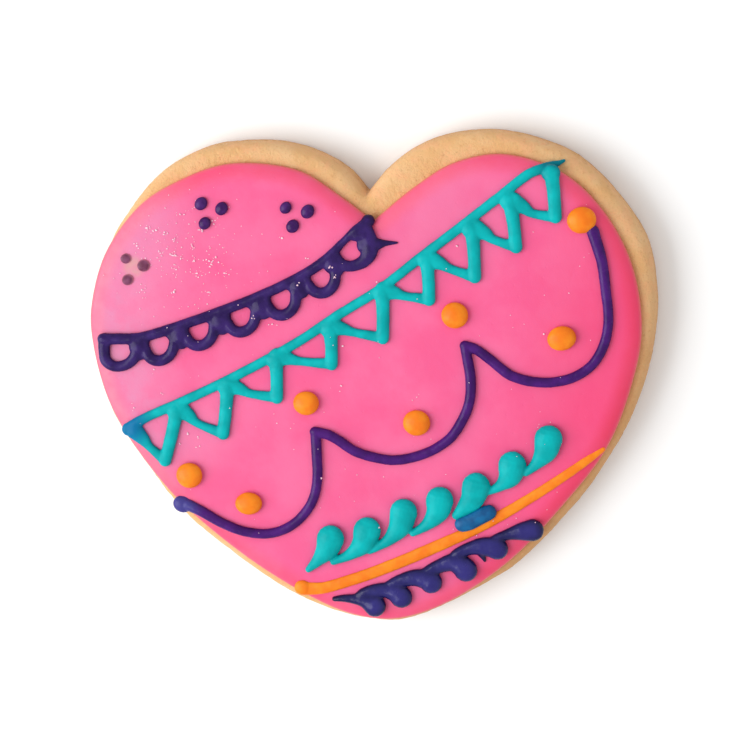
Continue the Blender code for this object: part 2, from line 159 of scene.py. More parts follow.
# Each entry is how far inside the outline and how high a ring runs, from the underside up over the rim.
biscuit_profile = [(7.0 - BISCUIT_STEP * step, 0.0) for step in range(17)]
biscuit_profile += [(0.95, 0.02), (0.68, 0.09), (0.44, 0.22), (0.26, 0.40), (0.13, 0.63), (0.05, 0.90)]
biscuit_profile += [(0.0, 1.2 + 0.31 * step) for step in range(11)]
biscuit_profile += [
    (0.02, 4.60), (0.07, 4.90), (0.14, 5.18), (0.24, 5.44), (0.37, 5.68), (0.53, 5.89), (0.73, 6.08),
    (0.97, 6.23), (1.25, 6.35), (1.57, 6.43), (1.93, 6.48), (2.30, BISCUIT_TOP),
]
biscuit_profile += [(2.66 + BISCUIT_STEP * step, BISCUIT_TOP) for step in range(11)]
biscuit_rings = []
for inset, height in biscuit_profile:
    ring = biscuit_line + biscuit_inward * inset
    biscuit_rings.append(np.column_stack([ring, np.full(len(ring), height)]))
underside_shares = np.linspace(0.04, 0.985, 46)
underside_rings = [biscuit_rings[0] * (share, share, 1.0) for share in underside_shares]
top_shares = np.linspace(0.985, 0.05, 14)
top_rings = [biscuit_rings[-1] * (share, share, 1.0) for share in top_shares]
biscuit_rings = underside_rings + biscuit_rings + top_rings
biscuit = solid_from_rings("baked_biscuit", biscuit_rings)

PORE_SIZE = 1.15
CRUMB_SINK = 0.06
SIDE_RELIEF = 0.85
FOOT_RELIEF = 0.45
FOOT_HEIGHT = 1.0
UNDERSIDE_RELIEF = 0.35
UNDERSIDE_REST = 0.00003
normals = np.zeros(len(biscuit.data.vertices) * 3)
biscuit.data.vertex_normals.foreach_get("vector", normals)
normals = normals.reshape(-1, 3)
for vertex, normal in zip(biscuit.data.vertices, normals):
    place = vertex.co * 1000.0
    pull = crumb_height(place, PORE_SIZE)
    if normal[2] < -0.9:
        pull = UNDERSIDE_RELIEF * pull + 0.05
        vertex.co.z = max(0.0, UNDERSIDE_REST - pull * 0.0006)
    else:
        share = SIDE_RELIEF if place.z > FOOT_HEIGHT else FOOT_RELIEF
        vertex.co += Vector(normal) * (pull - CRUMB_SINK) * share * 0.001
        vertex.co.z = max(0.0, vertex.co.z)
biscuit.data.update()


def new_material(name, roughness, subsurface=0.0):
    """Starts a material and returns it with its node tree, its shader and the place on the surface."""
    material = bpy.data.materials.new(name)
    material.use_nodes = True
    tree = material.node_tree
    shader = tree.nodes["Principled BSDF"]
    shader.inputs["Roughness"].default_value = roughness
    shader.inputs["Subsurface Weight"].default_value = subsurface
    shader.inputs["Subsurface Radius"].default_value = (1.0, 0.5, 0.4)
    shader.inputs["Subsurface Scale"].default_value = 0.0008
    place = tree.nodes.new("ShaderNodeTexCoord").outputs["Object"]
    return material, tree, shader, place


def add_noise(tree, place, size_mm, detail=3.0, roughness=0.55):
    """Adds cloudy noise whose patches are about size_mm across."""
    node = tree.nodes.new("ShaderNodeTexNoise")
    node.inputs["Scale"].default_value = 1000.0 / size_mm
    node.inputs["Detail"].default_value = detail
    node.inputs["Roughness"].default_value = roughness
    tree.links.new(place, node.inputs["Vector"])
    return node.outputs["Fac"]


def add_range(tree, value, low, high, out_low=0.0, out_high=1.0):
    """Adds a soft step that turns the range low to high of a value into out_low to out_high."""
    node = tree.nodes.new("ShaderNodeMapRange")
    node.interpolation_type = "SMOOTHSTEP"
    for name, number in (("From Min", low), ("From Max", high), ("To Min", out_low), ("To Max", out_high)):
        node.inputs[name].default_value = number
    tree.links.new(value, node.inputs["Value"])
    return node.outputs["Result"]


def add_mix(tree, share, first, second, blend="MIX"):
    """Adds a mix of two colours, each a plain colour or the output of another node."""
    node = tree.nodes.new("ShaderNodeMix")
    node.data_type = "RGBA"
    node.blend_type = blend
    for socket, value in ((node.inputs[0], share), (node.inputs[6], first), (node.inputs[7], second)):
        if isinstance(value, bpy.types.NodeSocket):
            tree.links.new(value, socket)
        else:
            socket.default_value = value if isinstance(value, float) else (*value, 1.0)
    return node.outputs[2]


def add_side(tree, place, direction, low_mm, high_mm):
    """Adds a mask that rises from zero to one across the cookie in a direction."""
    node = tree.nodes.new("ShaderNodeVectorMath")
    node.operation = "DOT_PRODUCT"
    node.inputs[1].default_value = direction
    tree.links.new(place, node.inputs[0])
    return add_range(tree, node.outputs["Value"], low_mm * 0.001, high_mm * 0.001)


def add_bump(tree, shader, height, distance_mm):
    """Feeds a height into the shader's normal as a bump of the given depth."""
    node = tree.nodes.new("ShaderNodeBump")
    node.inputs["Distance"].default_value = distance_mm * 0.001
    node.inputs["Strength"].default_value = 1.0
    tree.links.new(height, node.inputs["Height"])
    tree.links.new(node.outputs["Normal"], shader.inputs["Normal"])


def add_math(tree, operation, first, second):
    """Adds one step of arithmetic on values."""
    node = tree.nodes.new("ShaderNodeMath")
    node.operation = operation
    for socket, value in ((node.inputs[0], first), (node.inputs[1], second)):
        if isinstance(value, bpy.types.NodeSocket):
            tree.links.new(value, socket)
        else:
            socket.default_value = value
    return node.outputs[0]


crumb_gold = (0.690, 0.388, 0.160)
crumb_pale = (0.740, 0.458, 0.228)
crumb_brown_and_shade = (0.500, 0.235, 0.080)
crumb_dark_and_pore_shade = (0.330, 0.150, 0.055)
crumb_peach = (0.790, 0.400, 0.200)
crumb, tree, shader, place = new_material("baked crumb", 0.85, 0.12)
patches = add_noise(tree, place, 7.0)
specks = add_noise(tree, place, 0.7, 2.0)
fine_grain = add_noise(tree, place, 0.28, 2.0, 0.7)
shade = add_mix(tree, add_range(tree, patches, 0.35, 0.68), crumb_gold, crumb_pale)
peachy = add_range(tree, add_noise(tree, place, 2.4, 2.0), 0.45, 0.68, 0.0, 0.5)
shade = add_mix(tree, peachy, shade, crumb_peach)
shade = add_mix(tree, add_range(tree, specks, 0.58, 0.80, 0.0, 0.45), shade, crumb_brown_and_shade)
height_node = tree.nodes.new("ShaderNodeSeparateXYZ")
tree.links.new(place, height_node.inputs[0])
low_down = add_range(tree, height_node.outputs["Z"], 0.0002, 0.0032, 0.62, 0.0)
baked_side = add_range(tree, height_node.outputs["Z"], 0.0034, 0.0062, 0.30, 0.0)
baked_side = add_math(tree, "MULTIPLY", baked_side, add_range(tree, patches, 0.3, 0.65, 0.6, 1.3))
shade = add_mix(tree, baked_side, shade, crumb_brown_and_shade)
underneath = add_range(tree, height_node.outputs["Z"], 0.00005, 0.0006, 0.55, 0.0)
shade = add_mix(tree, low_down, shade, crumb_brown_and_shade)
shade = add_mix(tree, underneath, shade, crumb_brown_and_shade)
shade = add_mix(tree, add_range(tree, fine_grain, 0.60, 0.82, 0.0, 0.35), shade, crumb_dark_and_pore_shade)
pores = tree.nodes.new("ShaderNodeTexVoronoi")
pores.inputs["Scale"].default_value = 1000.0 / 0.95
tree.links.new(place, pores.inputs["Vector"])
pore_mask = add_range(tree, pores.outputs["Distance"], 0.10, 0.29, 1.0, 0.0)
open_crumb = add_range(tree, add_noise(tree, place, 3.2, 2.0), 0.40, 0.62)
pore_mask = add_math(tree, "MULTIPLY", pore_mask, open_crumb)
cut_side = add_range(tree, height_node.outputs["Z"], 0.0042, 0.0060, 1.0, 0.2)
pore_mask = add_math(tree, "MULTIPLY", pore_mask, cut_side)
# Painted shade: the pores along the cut side are mixed towards dark crumb; the same pores also sink the bump.
shade = add_mix(tree, add_math(tree, "MULTIPLY", pore_mask, 0.26), shade, crumb_dark_and_pore_shade)
# Painted shade: the lower right of the biscuit is mixed towards brown, darker across the cookie towards that
# side.
painted_shade_lower_right = add_side(tree, place, (0.75, -0.65, 0.0), 12.0, 48.0)
shade = add_mix(tree, add_math(tree, "MULTIPLY", painted_shade_lower_right, 0.74), shade, crumb_brown_and_shade)
tree.links.new(shade, shader.inputs["Base Color"])
tree.links.new(add_range(tree, patches, 0.3, 0.7, 0.78, 0.92), shader.inputs["Roughness"])
crumb_relief = add_math(tree, "ADD", specks, add_math(tree, "MULTIPLY", fine_grain, 0.8))
add_bump(tree, shader, add_math(tree, "SUBTRACT", crumb_relief, pore_mask), 0.16)
biscuit.data.materials.append(crumb)
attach(biscuit, "root")
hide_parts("biscuit")

# Pink icing: one layer of runny royal icing poured inside the rim of the biscuit. It sets about 1.6 mm thick
# with a rounded edge and a satin top that is not quite level, a little uneven where it was nudged into place.
ICING_TOP = 8.1
ICING_STEP = 0.4
RIM_REACH = 3.0
RIM_LOW = 6.95
ICING_MARKS = [
    (1.5, 26.1), (-2.7, 29.6), (-9.1, 34.1), (-14.6, 35.6), (-21.8, 35.8), (-28.9, 33.6), (-35.4, 30.0),
    (-41.5, 22.8), (-44.3, 15.6), (-45.0, 9.9), (-42.7, -2.3), (-36.4, -13.4), (-30.9, -20.0),
    (-21.1, -28.6), (-11.5, -34.9), (-5.5, -37.6), (0.5, -38.6), (5.5, -37.8), (12.15, -35.0),
    (20.8, -29.05), (29.0, -20.8), (36.7, -11.2), (40.9, -1.5), (42.9, 7.6), (41.7, 18.1), (37.5, 26.7),
    (31.5, 32.7), (22.4, 35.9), (14.65, 34.8), (8.55, 31.4),
]
icing_line = flowing_line(ICING_MARKS, ICING_STEP, closed=True, sharp=(0,))
icing_inward = inward_directions(icing_line, 5)


def depth_inside(points):
    """Returns how far inside the icing's outline each point lies; it is negative outside."""
    starts = icing_line
    runs = np.roll(icing_line, -1, axis=0) - icing_line
    squares = (runs ** 2).sum(axis=1)
    depths = []
    for point in points:
        away = point - starts
        along = np.clip((away * runs).sum(axis=1) / squares, 0.0, 1.0)
        gaps = away - runs * along[:, None]
        lengths = (gaps ** 2).sum(axis=1)
        nearest = int(lengths.argmin())
        side = np.dot(gaps[nearest], icing_inward[nearest])
        depths.append(math.copysign(math.sqrt(lengths[nearest]), side))
    return np.array(depths)


def icing_levels(points, depths=None):
    """Returns the height of the icing's surface at each point, with its rounded rim and its slight waves."""
    points = np.asarray(points, float)[:, :2]
    depths = depth_inside(points) if depths is None else depths
    share = np.clip(depths / RIM_REACH, 0.0, 1.0)
    rim = np.sqrt(1.0 - (1.0 - share) ** 2)
    levels = RIM_LOW + (ICING_TOP - RIM_LOW) * rim
    levels = np.where(depths < 0.0, np.maximum(BISCUIT_TOP, RIM_LOW + depths * 1.2), levels)
    waves = []
    for x, y in points:
        broad_wave = noise.noise(Vector((x, y, 4.0)) / 11.0) * 0.13
        waves.append(broad_wave + noise.noise(Vector((x, y, 9.0)) / 3.4) * 0.035)
    return levels + np.array(waves) * share


icing_rings = [icing_line * 0.9, icing_line + icing_inward * 0.55, icing_line + icing_inward * 0.16]
icing_rings = [np.column_stack([ring, np.full(len(ring), 6.38)]) for ring in icing_rings]
icing_rings.append(np.column_stack([icing_line + icing_inward * 0.03, np.full(len(icing_line), 6.62)]))
rim_depths = [np.zeros(len(icing_line))] * 4
for inset in (0.0, 0.03, 0.08, 0.16, 0.27, 0.41, 0.58, 0.78, 1.02, 1.3, 1.62, 2.0, 2.4, 2.8):
    ring = icing_line + icing_inward * inset
    icing_rings.append(np.column_stack([ring, icing_levels(ring)]))
    rim_depths.append(np.full(len(ring), inset))
level_ring = icing_rings[-1][:, :2]
for share in np.linspace(0.985, 0.03, 66):
    ring = level_ring * share
    rim_depths.append(depth_inside(ring))
    icing_rings.append(np.column_stack([ring, icing_levels(ring, rim_depths[-1])]))
flood = solid_from_rings("poured_icing", icing_rings)
rim_attribute = flood.data.attributes.new("rim_depth", "FLOAT", "POINT")
rim_attribute.data.foreach_set("value", np.concatenate(rim_depths))


def icing_surface_group():
    """Builds the set icing effect: cloudy tone, satin patches, fine grain, pinholes and a foot mask for
    painted shade.
    """
    group = bpy.data.node_groups.new("set icing", "ShaderNodeTree")
    for name, kind in (("Place", "NodeSocketVector"), ("Cloud size", "NodeSocketFloat"),
                       ("Pinholes", "NodeSocketFloat")):
        group.interface.new_socket(name, in_out="INPUT", socket_type=kind)
    for name in ("Tone", "Roughness", "Height", "Foot shade"):
        group.interface.new_socket(name, in_out="OUTPUT", socket_type="NodeSocketFloat")
    start = group.nodes.new("NodeGroupInput")
    end = group.nodes.new("NodeGroupOutput")
    clouds = group.nodes.new("ShaderNodeTexNoise")
    clouds.inputs["Detail"].default_value = 4.0
    group.links.new(start.outputs["Place"], clouds.inputs["Vector"])
    group.links.new(add_math(group, "DIVIDE", 1000.0, start.outputs["Cloud size"]), clouds.inputs["Scale"])
    grain = add_noise(group, start.outputs["Place"], 0.22, 2.0, 0.6)
    ripple = add_noise(group, start.outputs["Place"], 1.6, 2.0, 0.5)
    cells = group.nodes.new("ShaderNodeTexVoronoi")
    cells.inputs["Scale"].default_value = 1000.0 / 1.9
    group.links.new(start.outputs["Place"], cells.inputs["Vector"])
    hole = add_range(group, cells.outputs["Distance"], 0.05, 0.13, 1.0, 0.0)
    hole = add_math(group, "MULTIPLY", hole, start.outputs["Pinholes"])
    relief = add_math(group, "MULTIPLY", ripple, 0.55)
    height = add_math(group, "ADD", relief, add_math(group, "MULTIPLY", grain, 0.25))
    height = add_math(group, "SUBTRACT", height, add_math(group, "MULTIPLY", hole, 0.5))
    group.links.new(height, end.inputs["Height"])
    tone = add_range(group, clouds.outputs["Fac"], 0.34, 0.66)
    group.links.new(tone, end.inputs["Tone"])
    group.links.new(add_range(group, ripple, 0.35, 0.65, 0.34, 0.50), end.inputs["Roughness"])
    # Mask low on a piped line; the materials use it for painted shade along the foot.
    foot = add_side(group, start.outputs["Place"], (0.0, 0.0, -1.0), -8.85, -8.15)
    group.links.new(foot, end.inputs["Foot shade"])
    return group


set_icing = icing_surface_group()


def icing_material(name, main, light, cloud_mm, pinholes=0.0, bump_mm=0.05, subsurface=0.15, gloss=0.2,
                   foot=None, polish=1.0):
    """Makes royal icing that drifts between two close colours; a foot colour adds painted shade towards the
    foot of a line.
    """
    material, tree, shader, place = new_material(name, 0.42, subsurface)
    shader.inputs["Specular IOR Level"].default_value = gloss
    surface = tree.nodes.new("ShaderNodeGroup")
    surface.node_tree = set_icing
    surface.inputs["Cloud size"].default_value = cloud_mm
    surface.inputs["Pinholes"].default_value = pinholes
    tree.links.new(place, surface.inputs["Place"])
    colour = add_mix(tree, surface.outputs["Tone"], main, light)
    if foot:
        colour = add_mix(tree, surface.outputs["Foot shade"], colour, foot, "MULTIPLY")
    tree.links.new(colour, shader.inputs["Base Color"])
    roughness = add_math(tree, "MULTIPLY", surface.outputs["Roughness"], polish)
    tree.links.new(roughness, shader.inputs["Roughness"])
    add_bump(tree, shader, surface.outputs["Height"], bump_mm)
    return material, tree, shader, place, colour


def add_nearness(tree, place, centre, near, far):
    """Adds a mask that is one within near millimetres of a centre and zero beyond far."""
    node = tree.nodes.new("ShaderNodeVectorMath")
    node.operation = "DISTANCE"
    node.inputs[1].default_value = [value * 0.001 for value in centre]
    tree.links.new(place, node.inputs[0])
    return add_range(tree, node.outputs["Value"], near * 0.001, far * 0.001, 1.0, 0.0)


pink_deep = (0.785, 0.091, 0.250)
pink_clear = (0.800, 0.124, 0.290)
pink_sheen_and_pale = (0.690, 0.215, 0.385)
pink_shade_right = (0.775, 0.050, 0.165)
pink_thin = (0.720, 0.190, 0.200)
pink_grey = (0.620, 0.300, 0.310)
rim_shade = (0.980, 0.700, 0.640)
PALE_PATCHES = [
    ((10.0, 29.0, 8.0), 17.0, 0.3), ((-29.0, -7.5, 8.0), 9.0, 0.4), ((-35.5, 26.0, 8.0), 14.0, 0.6),
]
pink, tree, shader, place, colour = icing_material("pink icing", pink_deep, pink_clear, 9.0, 0.6, gloss=0.35)
patches = add_noise(tree, place, 3.0, 4.0)
uneven = add_range(tree, patches, 0.3, 0.7, 0.55, 1.0)
# Painted sheen: the left side of the icing is mixed towards a paler pink, in uneven patches.
painted_sheen_left = add_math(tree, "MULTIPLY", add_side(tree, place, (-1.0, -0.04, 0.0), 27.0, 41.0), uneven)
colour = add_mix(tree, painted_sheen_left, colour, pink_sheen_and_pale)
for centre, reach, strength in PALE_PATCHES:
    pale = add_math(tree, "MULTIPLY", add_nearness(tree, place, centre, 2.0, reach), strength)
    colour = add_mix(tree, pale, colour, pink_sheen_and_pale)
# Painted shade: the right and lower right of the icing are mixed towards a deeper pink.
painted_shade_right = add_math(tree, "MULTIPLY", add_side(tree, place, (0.95, -0.3, 0.0), 14.0, 38.0), 0.8)
colour = add_mix(tree, painted_shade_right, colour, pink_shade_right)
thin = add_math(tree, "MULTIPLY", add_side(tree, place, (0.0, 0.0, 1.0), 7.65, 7.05), 0.85)
colour = add_mix(tree, thin, colour, pink_thin)
rim_node = tree.nodes.new("ShaderNodeAttribute")
rim_node.attribute_name = "rim_depth"
# Painted shade: the colour deepens within a few millimetres of the icing's rim, all the way round.
painted_rim_shade = add_range(tree, rim_node.outputs["Fac"], 0.8, 3.6, 1.0, 0.0)
painted_rim_shade = add_math(tree, "MULTIPLY", painted_rim_shade, add_range(tree, patches, 0.3, 0.7, 0.8, 1.0))
colour = add_mix(tree, painted_rim_shade, colour, rim_shade, "MULTIPLY")
smeared = add_nearness(tree, place, (-37.1, 20.1, 8.1), 0.7, 2.3)
streaks = add_range(tree, add_noise(tree, place, 1.2), 0.3, 0.6, 0.4, 0.9)
smeared = add_math(tree, "MULTIPLY", smeared, streaks)
colour = add_mix(tree, smeared, colour, pink_grey)
tree.links.new(colour, shader.inputs["Base Color"])
flood.data.materials.append(pink)
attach(flood, "root")
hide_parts("icing")

# Lace border: a string of indigo icing with seven loops hanging from it, piped wet on wet so that the string
# and the loops run together. It starts at the left edge and ends in a bead and a short drawn-out tail.
LACE_STRING = [
    (-42.8, 8.65, 2.0), (-41.3, 8.65, 1.9), (-37.0, 8.7, 1.75), (-32.2, 9.9, 1.7), (-27.2, 11.4, 1.7),
    (-22.9, 12.8, 1.7), (-18.3, 14.4, 1.7), (-13.6, 16.3, 1.7), (-9.4, 18.3, 1.7), (-6.2, 20.3, 1.7),
    (-4.9, 21.4, 1.65), (-3.8, 22.55, 1.35), (-2.6, 23.65, 1.3), (-1.2, 24.8, 1.6), (-0.3, 25.35, 1.75),
    (0.7, 26.1, 1.8),
]
LACE_FIRST_LOOP = [
    (-42.6, 8.6, 2.1), (-42.8, 6.8, 1.95), (-42.6, 5.1, 1.9), (-41.3, 4.2, 1.8), (-39.4, 4.4, 1.8),
    (-37.9, 5.6, 1.9), (-37.3, 7.2, 1.9),
]
LACE_HOLES = [
    ((-33.65, 7.5), 0.18), ((-27.0, 9.8), 0.28), ((-20.15, 11.8), 0.30), ((-13.5, 14.35), 0.38),
    ((-6.95, 17.75), 0.50),
]
LACE_LAST_LOOP = [
    (-4.65, 21.3, 1.7), (-4.2, 20.2, 1.9), (-3.35, 19.45, 1.9), (-2.1, 19.25, 1.8), (-0.2, 19.9, 2.1),
    (0.85, 21.2, 2.6), (1.05, 22.8, 2.8), (0.6, 24.7, 2.4),
]
LACE_FILL = [(1.0, 23.3, 2.3), (0.15, 24.1, 2.4), (-1.45, 24.25, 2.1)]
LACE_WEBS = [
    ((-37.0, 6.4), 0.12), ((-30.1, 8.0), 0.20), ((-23.4, 10.1), 0.28), ((-16.6, 12.4), 0.32),
    ((-10.3, 15.6), 0.43), ((-4.5, 18.9), 0.60),
]
LACE_TAIL = [(0.4, 22.5, 3.0), (2.0, 22.6, 2.1), (3.6, 22.7, 1.0), (5.4, 22.7, 0.35)]
LOOP_TURNS = range(150, 391, 20)
LOOP_DEPTH = 2.5
LOOP_REACH = 2.4
LOOP_TAPER = 0.16
LOOP_WIDTH = 1.85
LOOP_END_WIDTH = 1.45
WEB_WIDTHS = ((1.0, 3.2), (0.3, 3.0), (-0.3, 2.1))
PIPE_SIDES = 20
PIPE_STEP = 0.3
CAP_TURNS = (85.0, 65.0, 45.0, 22.0)
LEAST_HEIGHT = 0.35
SINK = 0.4
WOBBLE = 0.035


def piped_stroke(mesh, marks, height=1.0, belly=0.3, spacing=PIPE_STEP):
    """Adds one stroke of piped icing to a mesh: a round-topped line with round ends through the marks."""
    line = flowing_line(marks, spacing)
    travel = np.gradient(line[:, :2], axis=0)
    travel /= np.linalg.norm(travel, axis=1)[:, None]
    half = line[:, 2] / 2.0
    levels = icing_levels(line)
    for _ in range(3):
        levels[1:-1] = (levels[:-2] + levels[1:-1] * 2.0 + levels[2:]) / 4.0
    heights = height * half / half.max()
    heights = LEAST_HEIGHT * height + (1.0 - LEAST_HEIGHT) * heights
    stations = []
    for turn in CAP_TURNS:
        squeeze, shift = math.cos(math.radians(turn)), math.sin(math.radians(turn))
        stations.append((line[0, :2] - travel[0] * half[0] * shift, travel[0], half[0], levels[0],
                         heights[0], squeeze))
    for index in range(len(line)):
        stations.append((line[index, :2], travel[index], half[index], levels[index], heights[index], 1.0))
    for turn in reversed(CAP_TURNS):
        squeeze, shift = math.cos(math.radians(turn)), math.sin(math.radians(turn))
        stations.append((line[-1, :2] + travel[-1] * half[-1] * shift, travel[-1], half[-1], levels[-1],
                         heights[-1], squeeze))
    rings = []
    for centre, heading, reach, level, top, squeeze in stations:
        middle = level + belly * top
        ring = []
        for side in range(PIPE_SIDES):
            angle = 2.0 * math.pi * side / PIPE_SIDES
            outward = reach * squeeze * math.cos(angle)
            rise = math.sin(angle) * squeeze
            rise *= top * (1.0 - belly) if rise > 0.0 else top * belly + SINK
            across = (centre[0] - heading[1] * outward, centre[1] + heading[0] * outward)
            ring.append(mesh.verts.new((*across, middle + rise)))
        rings.append(ring)
    for first, second in zip(rings, rings[1:]):
        for side in range(PIPE_SIDES):
            following = (side + 1) % PIPE_SIDES
            mesh.faces.new((first[side], first[following], second[following], second[side]))
    mesh.faces.new(rings[0][::-1])
    mesh.faces.new(rings[-1])


def bead(mesh, centre, half_width, half_depth, height, slope=0.0):
    """Adds one round bead of icing, with its widest part a little above the surface it sits on."""
    turn = Matrix.Rotation(slope, 4, "Z")
    middle = icing_levels([centre])[0] + 0.3 * height
    made = bmesh.ops.create_uvsphere(mesh, u_segments=28, v_segments=16, radius=1.0)
    for vertex in made["verts"]:
        up = vertex.co.z
        rise = up * (height * 0.7) if up > 0.0 else up * (height * 0.3 + SINK)
        flat = turn @ Vector((vertex.co.x * half_width, vertex.co.y * half_depth, 0.0))
        vertex.co = Vector((centre[0] + flat.x, centre[1] + flat.y, middle + rise))


def set_piping(name, mesh, material, voxel=0.13, rounds=3):
    """Melts the strokes of a mesh into one skin, as wet icing does, and makes the piece from it."""
    bmesh.ops.recalc_face_normals(mesh, faces=mesh.faces)
    data = bpy.data.meshes.new(name)
    mesh.to_mesh(data)
    mesh.free()
    piece = bpy.data.objects.new(name, data)
    bpy.context.scene.collection.objects.link(piece)
    melt = piece.modifiers.new("melt", "REMESH")
    melt.mode = "VOXEL"
    melt.voxel_size = voxel
    soften = piece.modifiers.new("soften", "SMOOTH")
    soften.factor = 0.5
    soften.iterations = rounds
    evaluated = piece.evaluated_get(bpy.context.evaluated_depsgraph_get())
    melted = bpy.data.meshes.new_from_object(evaluated)
    piece.modifiers.clear()
    piece.data = melted
    bpy.data.meshes.remove(data)
    melted.name = name
    count = len(melted.vertices)
    points = np.zeros(count * 3)
    normals = np.zeros(count * 3)
    melted.vertices.foreach_get("co", points)
    melted.vertex_normals.foreach_get("vector", normals)
    points, normals = points.reshape(-1, 3), normals.reshape(-1, 3)
    swell = []
    for point in points:
        swell.append(noise.noise(Vector(point) / 1.4) + 0.5 * noise.noise(Vector(point) / 0.55))
    points = (points + normals * np.array(swell)[:, None] * WOBBLE) * 0.001
    melted.vertices.foreach_set("co", points.ravel())
    melted.update()
    melted.shade_smooth()
    melted.materials.clear()
    melted.materials.append(material)
    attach(piece, "root")
    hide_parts("icing")


lace = bmesh.new()
piped_stroke(lace, LACE_STRING, height=1.2)
piped_stroke(lace, LACE_FIRST_LOOP, height=1.1)
piped_stroke(lace, LACE_LAST_LOOP, height=1.15)
for (centre_x, centre_y), slope in LACE_HOLES:
    loop = []
    for degrees in LOOP_TURNS:
        turn = math.radians(degrees)
        across = LOOP_DEPTH * math.sin(turn)
        along = LOOP_REACH * math.cos(turn) + LOOP_TAPER * min(0.0, across)
        width = LOOP_WIDTH if 180 < degrees < 360 else LOOP_END_WIDTH
        loop.append((centre_x + along * math.cos(slope) - across * math.sin(slope),
                     centre_y + along * math.sin(slope) + across * math.cos(slope), width))
    piped_stroke(lace, loop, height=1.1)
for (web_x, web_y), slope in LACE_WEBS:
    web = [(web_x - math.sin(slope) * rise, web_y + math.cos(slope) * rise, width)
           for rise, width in WEB_WIDTHS]
    piped_stroke(lace, web, height=1.2)
piped_stroke(lace, LACE_FILL, height=1.1)
piped_stroke(lace, LACE_TAIL, height=1.0)
bead(lace, (0.9, 26.3), 1.1, 1.0, 1.25)
lace_deep = (0.017, 0.004, 0.068)
lace_clear = (0.034, 0.012, 0.118)
# Painted shade for the foot of a piped line.
foot_shade = (0.75, 0.55, 0.62)
lace_indigo, *_ = icing_material("lace indigo icing", lace_deep, lace_clear, 2.2, 0.2, 0.045, 0.05,
                                 gloss=0.18, foot=foot_shade, polish=0.65)
set_piping("lace_border", lace, lace_indigo, rounds=16)

# Dot groups: three sets of three small indigo dots on the left lobe, each touched down once from a fine
# nozzle and let go with a slight pull, which leaves it a little longer than wide. The set nearest the edge
# was wiped while it was wet, so it is paler and browner, with a grey film between its dots.
SMALL_DOTS = [
    (-25.5, 29.9, 1.13), (-22.25, 29.0, 1.14), (-25.1, 26.75, 1.08), (-12.0, 28.8, 1.03),
    (-8.55, 28.1, 1.18), (-11.05, 25.85, 1.14),
]
DOT_SLANT = 0.85
WIPED_DOTS = [(-38.25, 21.5, 0.90), (-35.45, 20.3, 1.08), (-38.2, 18.1, 0.98)]
dots = bmesh.new()
for centre_x, centre_y, radius in SMALL_DOTS:
    bead(dots, (centre_x, centre_y), radius, radius * 0.87, 0.9, DOT_SLANT)
dot_deep = (0.034, 0.004, 0.076)
dot_clear = (0.062, 0.012, 0.132)
dot_icing, *_ = icing_material("dot icing", dot_deep, dot_clear, 1.6, 0.2, 0.045, 0.05,
                               gloss=0.18, foot=foot_shade, polish=0.65)
set_piping("small_dots", dots, dot_icing, 0.09)
wiped = bmesh.new()
for centre_x, centre_y, radius in WIPED_DOTS:
    bead(wiped, (centre_x, centre_y), radius, radius * 0.92, 0.42, 0.4)
wiped_brown = (0.125, 0.024, 0.062)
wiped_grey = (0.200, 0.056, 0.125)
wiped_pink = (0.560, 0.200, 0.270)
wiped_icing, tree, shader, place, colour = icing_material("wiped icing", wiped_brown, wiped_grey, 1.1,
                                                          subsurface=0.1)
thin_film = add_side(tree, place, (0.0, 0.0, 1.0), 8.42, 8.18)
colour = add_mix(tree, thin_film, colour, wiped_pink)
tree.links.new(colour, shader.inputs["Base Color"])
set_piping("wiped_dots", wiped, wiped_icing, 0.09)

# Bunting: a turquoise string across the whole heart with nine pointed flags under it. Each flag is one thin
# slanting stroke out from the string and one thicker stroke back to it, and the icing pools where they meet.
BUNTING_STRING = [
    (-39.8, -6.2, 2.2), (-38.4, -5.2, 1.8), (-36.0, -4.0, 1.6), (-31.0, -2.0, 1.6), (-24.3, 0.9, 1.6),
    (-17.6, 4.1, 1.6), (-10.9, 7.6, 1.6), (-4.3, 11.7, 1.6), (2.3, 15.5, 1.6), (8.8, 20.2, 1.6),
    (15.3, 24.8, 1.6), (21.8, 29.5, 1.6), (26.6, 32.9, 1.6), (29.6, 33.8, 1.5), (30.8, 34.1, 0.95),
    (31.8, 34.5, 0.5),
]
BUNTING_FLAGS = [
    [(-38.9, -6.7), (-36.5, -9.1), (-34.05, -11.4), (-31.6, -3.3)],
    [(-31.1, -3.4), (-28.6, -5.3), (-24.3, -7.2), (-23.1, 0.4)],
    [(-23.0, 0.4), (-19.7, -0.7), (-15.2, -1.5), (-15.0, 4.7)],
    [(-14.8, 4.7), (-11.3, 4.3), (-6.1, 3.7), (-6.0, 9.4)],
    [(-5.8, 9.4), (-2.4, 8.7), (2.3, 7.7), (2.6, 15.1)],
    [(2.8, 14.9), (6.0, 14.3), (9.95, 13.6), (9.85, 20.1)],
    [(10.2, 19.7), (13.4, 18.4), (17.3, 16.95), (17.2, 24.6)],
    [(17.6, 24.3), (20.4, 22.8), (23.95, 21.5), (23.3, 28.8)],
    [(23.7, 28.3), (26.6, 26.7), (30.25, 26.0), (29.9, 33.0)],
]
bunting = bmesh.new()
piped_stroke(bunting, BUNTING_STRING, height=1.0)
